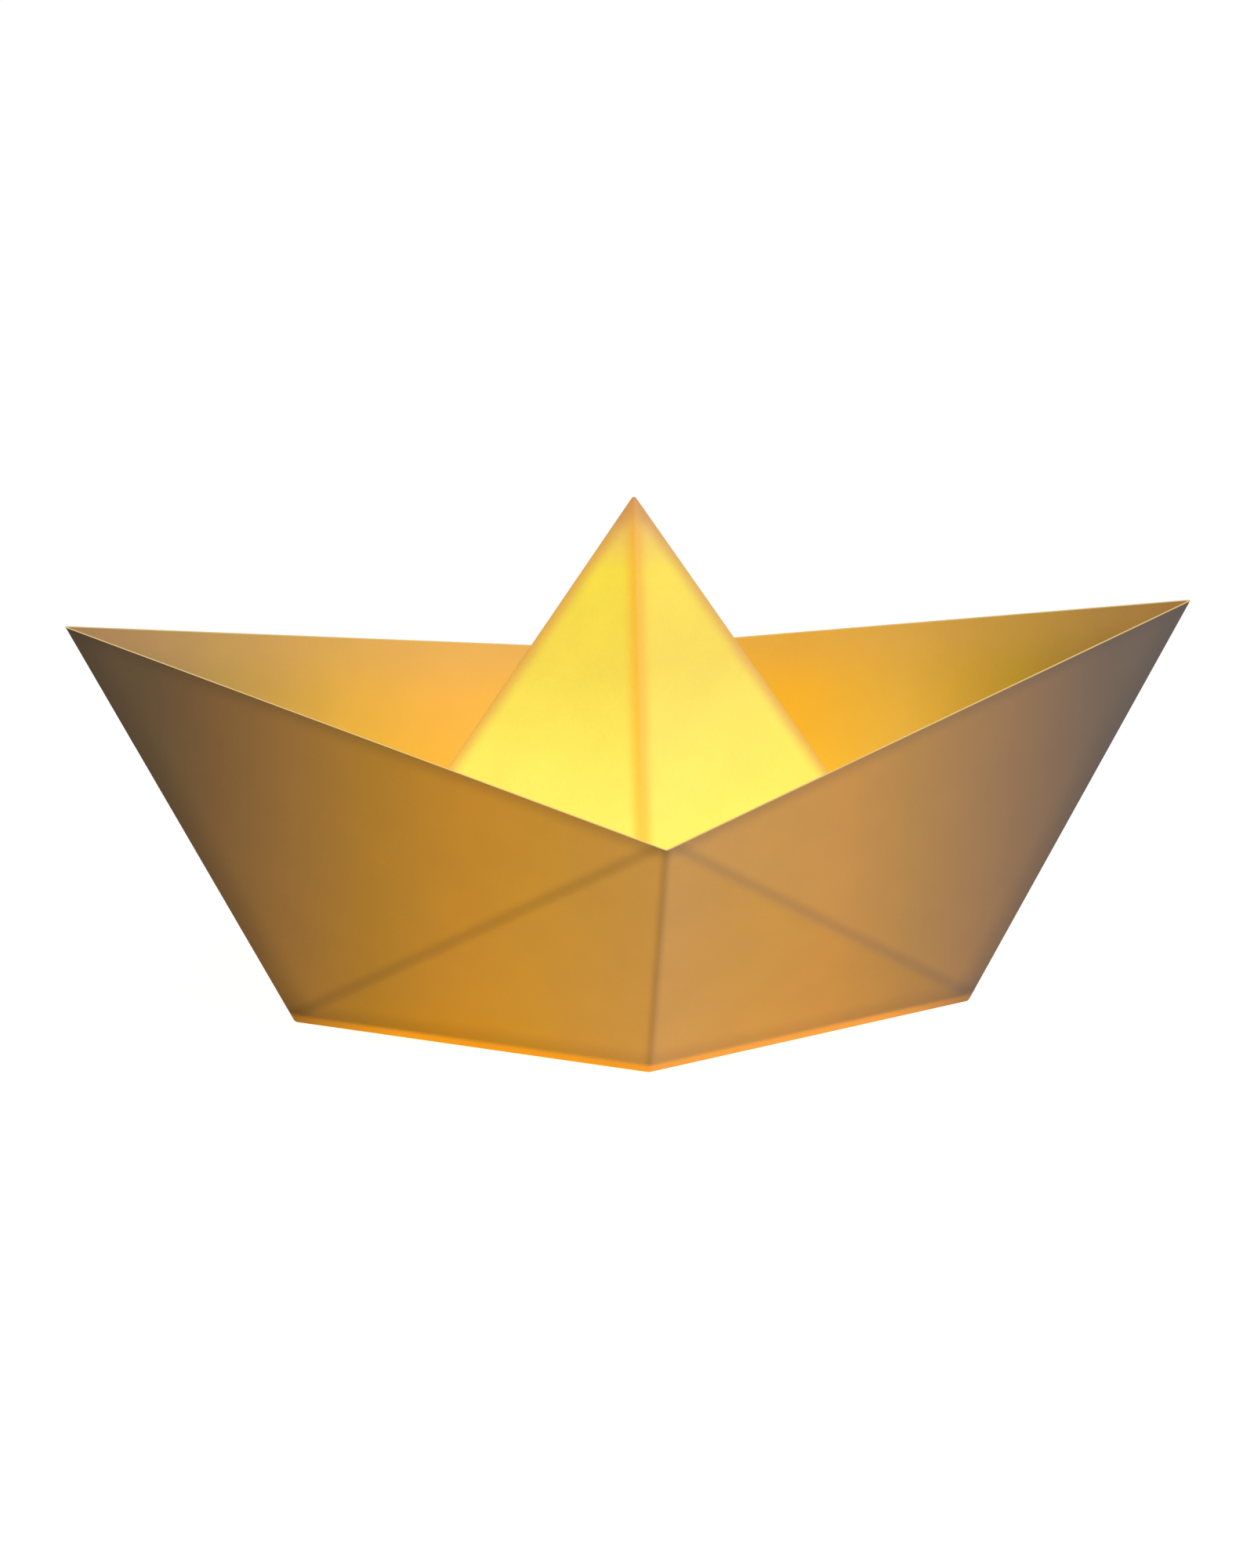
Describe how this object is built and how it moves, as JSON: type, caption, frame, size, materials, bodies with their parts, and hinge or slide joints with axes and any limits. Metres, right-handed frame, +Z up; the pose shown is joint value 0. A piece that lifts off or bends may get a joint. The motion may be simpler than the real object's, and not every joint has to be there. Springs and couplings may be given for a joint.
{
  "type": "folded paper boat",
  "caption": "Folded paper boat with raised pointed ends, creased flat-panelled sides and a hollow pyramid sail amidships, open underneath.",
  "frame": {"origin": "middle of the footprint, on the ground that the bottom folds stand on", "axes": "+X along the boat towards the bow, +Y to port, +Z up"},
  "size_m": [0.2, 0.1222, 0.0965],
  "materials": {
    "paper": "uncoated translucent paper, warm yellow"
  },
  "bodies": {
    "root": {"paper_boat": "paper"}
  },
  "joints": []
}
